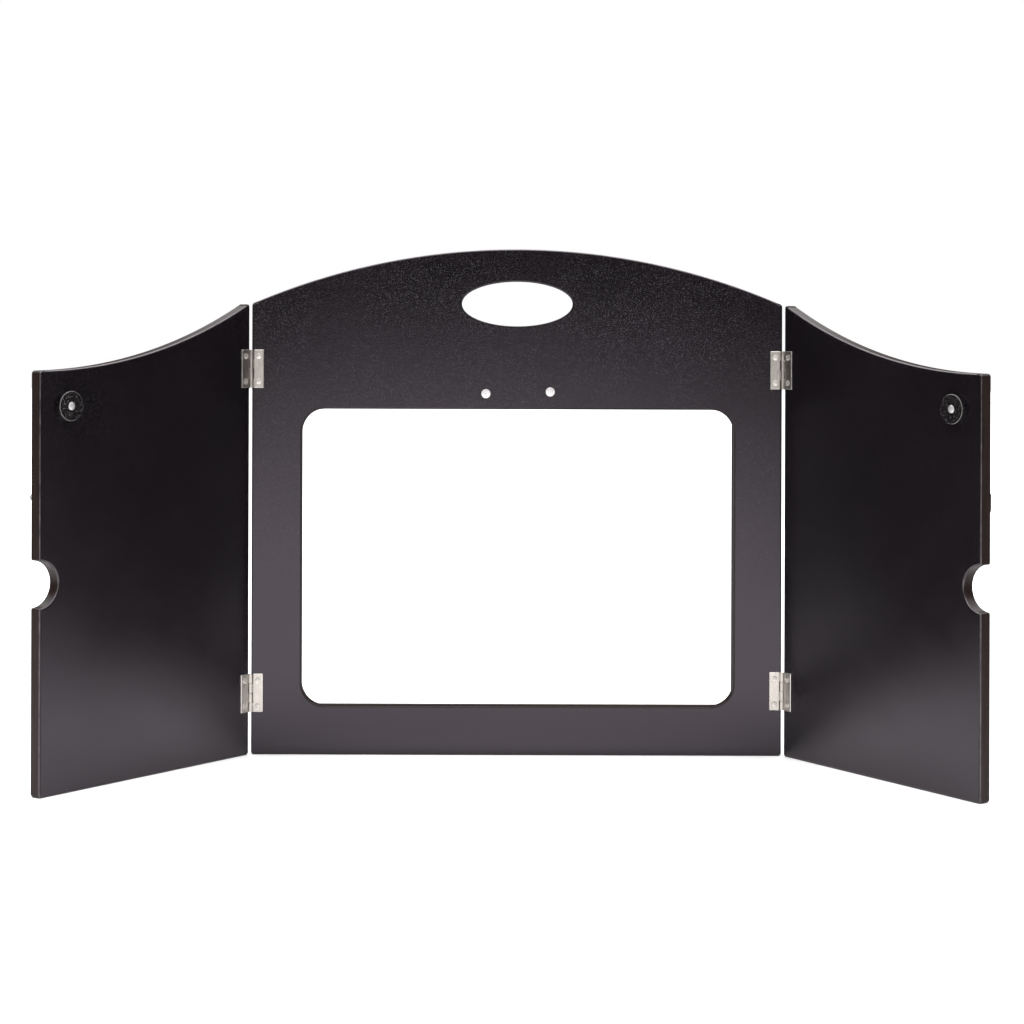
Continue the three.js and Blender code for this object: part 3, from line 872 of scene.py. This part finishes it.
def leaf_plate(surface, low, high, screw_heights):
    """The flat of a leaf in (x, z): a rounded rectangle with two countersunk holes."""
    depth = high[1] - low[1]
    edges = [(box_outline((LEAF_START, low[2]), (high[0], high[2]), 0.7 * MM),
              rounded_edge(depth, 0.42 * MM, 0.1 * MM, 4))]
    shank = 1.3 * MM
    for height in screw_heights:
        hole = circle_hole((LEAF_SCREW_FROM_AXIS, height), shank)
        widening = LEAF_SCREW["head"] + 0.12 * MM - shank
        edges.append((hole, countersunk_edge(depth, widening, 1.15 * MM)))
    slab(surface, edges, low[1])


def rolled_knuckle(surface, plate_front, plate_back, z, height):
    """A knuckle rolled from the leaf: the sheet runs to the back of the pin and once round it.

    The path eases from the plate's middle to the roll's mean radius, then turns
    from straight behind the pin to just past its leaf side."""
    mean = BARREL_RADIUS - ROLLED_THICKNESS / 2
    middle = (plate_front + plate_back) / 2
    ease = np.linspace(0, 1, 8)[:-1]
    smooth = ease * ease * (3 - 2 * ease)
    run_in = np.stack([LEAF_START * (1 - ease), middle + (mean - middle) * smooth], 1)
    angles = np.radians(np.linspace(90, 375, 40))
    roll = mean * np.stack([np.cos(angles), np.sin(angles)], 1)
    path = np.concatenate([run_in, roll])
    step = np.gradient(path, axis=0)
    step /= np.linalg.norm(step, axis=1, keepdims=True)
    across = np.stack([-step[:, 1], step[:, 0]], 1)
    points, _ = box_outline((-ROLLED_THICKNESS / 2, -height / 2), (ROLLED_THICKNESS / 2, height / 2),
                            0.16 * MM, 3)
    carried(surface, path, across, points[::-1], z)


def make_leaf(level, name, on_door):
    """A leaf of one hinge, drawn about its pin with the leaf towards +x."""
    side = SIDES[name]
    node = f"{level}_{name}_hinge_{'door' if on_door else 'panel'}_leaf"
    pin_low, pin_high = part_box(f"{level}_{name}_hinge_pin")
    middle = (pin_low.z + pin_high.z) / 2
    x, y, _ = joint(f"{name}_door_hinge")["pos_m"]
    place = DOORS[name] if on_door else Place(np.diag([-side, 1, 1]), [x, y, 0])
    low, high = measured(node, place)
    low[1], high[1] = LEAF_FRONT, LEAF_BACK
    surface = Surface()
    half = LEAF_SCREW_SPACING / 2
    leaf_plate(surface, low, high, (middle - half, middle + half))
    pitch = (high[2] - low[2]) / KNUCKLES
    is_left_leaf = (side < 0) == on_door
    for knuckle in range(0 if is_left_leaf else 1, KNUCKLES, 2):
        z = high[2] - (knuckle + 0.5) * pitch
        rolled_knuckle(surface, low[1], high[1], z, pitch - KNUCKLE_GAP)
    body = WINGS[name] if on_door else "main_panel"
    piece_name = node.replace("_leaf", "_leaf_plate")
    new_piece(piece_name, surface, place, NICKEL, body, node)
    for end, height in (("upper", middle + half), ("lower", middle - half)):
        screw_node = node.replace("_leaf", f"_screw_{end}")
        seat = place.then(FACING_AUDIENCE, [LEAF_SCREW_FROM_AXIS, low[1], height])
        put_screw(screw_node, seat, LEAF_SCREW, body, steel=HINGE_STEEL)


def make_pin(level, name):
    node = f"{level}_{name}_hinge_pin"
    low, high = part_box(node)
    x, y, _ = joint(f"{name}_door_hinge")["pos_m"]
    half = (high.z - low.z) / 2
    dome = [(PIN_RADIUS * math.sin(a), half + PIN_DOME * (math.cos(a) - 1))
            for a in np.linspace(0, np.pi / 2, 8)]
    profile = dome + [(r, -h) for r, h in reversed(dome)]
    surface = Surface()
    turned(surface, profile, 40)
    place = Place(np.eye(3), [x, y, (low.z + high.z) / 2])
    new_piece(f"{node}_rod", surface, place, NICKEL, "main_panel", node)


# ------------------------------------------------------------------- screws

RECESS_DEPTH = 0.07              # of the head's radius, where a screw gives no recess of its own


def screw_size(head, crown, underside, shank, length, neck=0.0, recess=None):
    """A screw's sizes in millimetres; a head on a neck is round, any other is countersunk."""
    head, crown, underside, shank, length, neck = (
        value * MM for value in (head, crown, underside, shank, length, neck))
    return {"head": head, "crown": crown, "underside": underside, "shank": shank, "length": length,
            "neck": neck, "recess": recess or cross_recess(head, RECESS_DEPTH * head)}


# The crown stays low because two leaves lie 0.8 mm apart, face to face, when a door is closed.
LEAF_SCREW = screw_size(head=2.5, crown=0.35, underside=1.25, shank=1.2, length=9)
KEEPER_SCREW = screw_size(head=4.35, crown=0.3, underside=2.4, shank=1.9, length=26)
RAIL_SCREW = screw_size(head=3.4, crown=0.14, underside=2.1, shank=1.6, length=32)
STOP_SCREW = screw_size(head=3.4, crown=0.14, underside=2.1, shank=1.6, length=25)
MAGNET_SCREW = screw_size(head=3.4, crown=0.55, underside=1.8, shank=1.6, length=12.5)
BUTTON_SCREW = screw_size(head=3.2, crown=2.9, underside=0, shank=1.5, length=11, neck=0.1,
                          recess=cross_recess(3.2 * MM, 1.0 * MM))
CATCH_SCREW = screw_size(head=2.6, crown=2.3, underside=0, shank=0.9, length=11, neck=2.5,
                         recess=single_slot(2.6 * MM, 0.8 * MM))


def put_screw(node, seat, size, body, turn=None, steel=BRIGHT_STEEL):
    """A screw in its seat, turned by an angle that depends on its name so that no two stand alike."""
    angle = turn if turn is not None else (sum(map(ord, node)) * 37 % 90) * math.pi / 180
    surface = screw(size["head"], size["crown"], size["underside"], size["shank"], size["length"],
                    size["neck"], size["recess"])
    place = seat.then(turn_about_z(angle), [0, 0, 0])
    new_piece(f"{node}_head", surface, place, steel, body, node)


FACING_AUDIENCE = [[1, 0, 0], [0, 0, -1], [0, 1, 0]]     # screw axis towards -y
FACING_AWAY = [[-1, 0, 0], [0, 0, 1], [0, 1, 0]]         # screw axis towards +y


def seat_on(place, node, facing, depth):
    """The seat at the middle of a node, at a depth in the place's own axes."""
    low, high = measured(node, place)
    return place.then(facing, [(low[0] + high[0]) / 2, depth, (low[2] + high[2]) / 2])


def make_panel_screws():
    for name in SIDES:
        node = f"{name}_keeper_screw"
        seat = seat_on(HOME, node, FACING_AUDIENCE, FRONT_FACE)
        put_screw(node, seat, KEEPER_SCREW, "main_panel")
    for name in ("left", "middle", "right"):
        node = f"lower_rail_screw_{name}"
        seat = seat_on(HOME, node, FACING_AWAY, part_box("lower_card_rail")[1].y)
        put_screw(node, seat, RAIL_SCREW, "main_panel")
    for name in ("lower", "middle", "upper"):
        node = f"card_stop_screw_{name}"
        seat = seat_on(HOME, node, FACING_AWAY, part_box("card_stop")[1].y)
        put_screw(node, seat, STOP_SCREW, "main_panel")


# ------------------------------------------------------------ door fittings

def make_magnet(name):
    """The round magnet: a disc with a soft rim and a countersunk hole, and its screw."""
    place = DOORS[name]
    node = f"{name}_magnet"
    low, high = measured(node, place)
    wood = measured(f"{name}_door", place)[0][1]
    middle = ((low[0] + high[0]) / 2, (low[2] + high[2]) / 2)
    radius = (high[2] - low[2]) / 2
    rim = tuple(a[:-1] for a in arc(middle, radius, 0, 360, 96))
    hole = circle_hole(middle, 1.9 * MM, 64)
    surface = Surface()
    thickness = wood - low[1]
    slab(surface, [
        (rim, magnet_edge(thickness)),
        (hole, countersunk_edge(thickness, 1.65 * MM, 1.8 * MM)),
    ], low[1])
    new_piece(f"{node}_disc", surface, place, COATING, WINGS[name], node)
    seat = place.then(FACING_AUDIENCE, [middle[0], low[1], middle[1]])
    put_screw(f"{name}_magnet_screw", seat, MAGNET_SCREW, WINGS[name])


def magnet_edge(thickness):
    """(inset, depth, rim, arris) down the disc: a narrow rounded lip in front, square behind."""
    turn = np.linspace(0, np.pi / 2, 6)
    inset = MAGNET_LIP * (1 - np.sin(turn))
    sink = MAGNET_LIP * (1 - np.cos(turn))
    lip = np.stack([inset, sink, 0 * turn, np.sin(2 * turn)], 1)
    start = [[MAGNET_LIP + 0.3 * MM, 0, 0, 0]]
    back = [[0, thickness, 0, 0], [1 * MM, thickness, 0, 0]]
    return np.concatenate([start, lip, back])


def make_turn_button():
    """The turn button: a flat bar with round ends, softened edges and a hole for its screw."""
    place = DOORS["right"]
    low, high = measured("turn_button", place)
    wood = measured("right_door", place)[1][1]
    x = (low[0] + high[0]) / 2
    z = (low[2] + high[2]) / 2
    radius = (high[0] - low[0]) / 2
    reach = (high[2] - low[2]) / 2 - radius
    bar = outline(arc((x, z + reach), radius, 0, 180, 24), arc((x, z - reach), radius, 180, 360, 24))
    back = wood + 0.1 * MM
    surface = Surface()
    slab(surface, [
        (bar, rounded_edge(high[1] - back, 0.3 * MM, 0.15 * MM, 4)),
        (circle_hole((x, z), 1.7 * MM), countersunk_edge(high[1] - back, 0.2 * MM, 0.3 * MM)),
    ], back)
    new_piece("turn_button_bar", surface, place, NICKEL, "button", "turn_button")
    seat = place.then(FACING_AWAY, [x, high[1], z])
    put_screw("turn_button_screw", seat, BUTTON_SCREW, "right_wing")


def make_catch_screw():
    place = DOORS["left"]
    wood = measured("left_door", place)[1][1]
    seat = seat_on(place, "catch_screw", FACING_AWAY, wood)
    put_screw("catch_screw", seat, CATCH_SCREW, "left_wing", turn=math.radians(35))


# ------------------------------------------------------- stage, light, view

# The floor's colour for everything but the camera is a painted pool of light: pale in the strip these
# set, painted dark beyond it.
LIT_MIDDLE = -0.2                # the lit strip of floor lies a little to the left
LIT_HALF_WIDTH = 0.55
LIT_FADE = 0.9
LIT_FAR_SHARE = 0.1              # of the light that is left beyond the fade
LIT_DEPTHS = (0.25, -0.05)       # the strip comes in between these depths
PAINTED_SHADE_FLOOR = (0.02, 0.02, 0.02, 1)
FLOOR_REACH = 12.0


def make_floor():
    """A wide pale floor.

    Seen directly it is pale all over. To everything else its colour is a painted
    pool of light: pale only in a wide strip in front of the panel, and dark around it."""
    mesh = bpy.data.meshes.new("floor")
    corners = [(x * FLOOR_REACH, y * FLOOR_REACH, 0) for x, y in ((-1, -1), (1, -1), (1, 1), (-1, 1))]
    mesh.from_pydata(corners, [], [(0, 1, 2, 3)])
    floor = bpy.data.objects.new("floor", mesh)
    bpy.context.scene.collection.objects.link(floor)
    finish = Finish("pale_floor")
    tone = finish.between(finish.noise(finish.place, 3.0, 3.0), 0.2, 0.8)
    pale = finish.mix(tone, (0.88, 0.88, 0.88, 1), (0.91, 0.91, 0.91, 1))
    in_front = finish.between(finish.along("Y"), *LIT_DEPTHS)
    aside = finish.math("ABSOLUTE", finish.math("SUBTRACT", finish.along("X"), LIT_MIDDLE), 0.0)
    near = finish.between(aside, LIT_HALF_WIDTH, LIT_HALF_WIDTH + LIT_FADE, 1.0, LIT_FAR_SHARE)
    lit = finish.math("MULTIPLY", in_front, near)
    # painted pool of light: pale in the strip, painted dark elsewhere, for all but camera rays
    painted_light_floor = finish.mix(lit, PAINTED_SHADE_FLOOR, pale)
    seen = finish.add("ShaderNodeLightPath", output="Is Camera Ray")
    finish.colour(finish.mix(seen, painted_light_floor, pale))
    finish.set(Roughness=0.8)
    mesh.materials.append(finish.material)


DIFFUSER_BRIGHTNESS = 3.7
DIFFUSER_EDGE = 0.45             # sine of the height at which the diffuser begins
DIFFUSER_RISE = 0.15             # how much further up it is at full brightness
DIM_ROOM = 0.02                  # brightness of the dark room below it


def make_light():
    """A white room to look at, and for everything else a diffuser overhead in a dark room.

    The light from a direction depends only on how high it stands: dim up to the
    diffuser's edge, then rising quickly to full brightness."""
    world = bpy.data.worlds.new("studio")
    world.use_nodes = True
    make = Nodes(world.node_tree)
    background = world.node_tree.nodes["Background"]
    direction = make.add("ShaderNodeTexCoord", output="Generated")
    height = make.add("ShaderNodeSeparateXYZ", {"Vector": direction}, output="Z")
    full = DIFFUSER_EDGE + DIFFUSER_RISE
    lit = make.between(height, DIFFUSER_EDGE, full, DIM_ROOM, DIFFUSER_BRIGHTNESS)
    seen = make.add("ShaderNodeLightPath", output="Is Camera Ray")
    strength = make.add("ShaderNodeMix", {0: seen, 2: lit, 3: 1.0}, data_type="FLOAT")
    world.node_tree.links.new(strength, background.inputs["Strength"])
    background.inputs["Color"].default_value = (1, 1, 1, 1)
    bpy.context.scene.world = world


CAMERA_DISTANCE = 2.05
CAMERA_HEIGHT = 0.404
CAMERA_ROLL = 0.18               # degrees
FOCAL_LENGTH = 76.3
SENSOR_WIDTH = 36.0
LENS_SHIFT = (-0.0051, -0.1800)  # of the sensor's width


def make_camera():
    """Aimed level, straight in front of the panel, rolled a little, framed by shifting the lens down."""
    data = bpy.data.cameras.new("camera")
    data.lens = FOCAL_LENGTH
    data.sensor_width = SENSOR_WIDTH
    data.shift_x, data.shift_y = LENS_SHIFT
    data.clip_end = 100
    camera = bpy.data.objects.new("camera", data)
    level = Matrix.Rotation(math.radians(90), 4, "X")
    roll = Matrix.Rotation(math.radians(CAMERA_ROLL), 4, "Z")
    stand = Matrix.Translation((0, FRONT_FACE - CAMERA_DISTANCE, CAMERA_HEIGHT))
    camera.matrix_world = stand @ level @ roll
    bpy.context.scene.collection.objects.link(camera)
    bpy.context.scene.camera = camera


# ----------------------------------------------------------------- assembly

make_front_panel()
make_rails()
make_panel_screws()
for wing in SIDES:
    make_door(wing)
    make_magnet(wing)
    for level in ("upper", "lower"):
        make_leaf(level, wing, on_door=False)
        make_leaf(level, wing, on_door=True)
        make_pin(level, wing)
make_turn_button()
make_catch_screw()

make_floor()
make_light()
make_camera()
bpy.context.scene.view_settings.view_transform = "Standard"
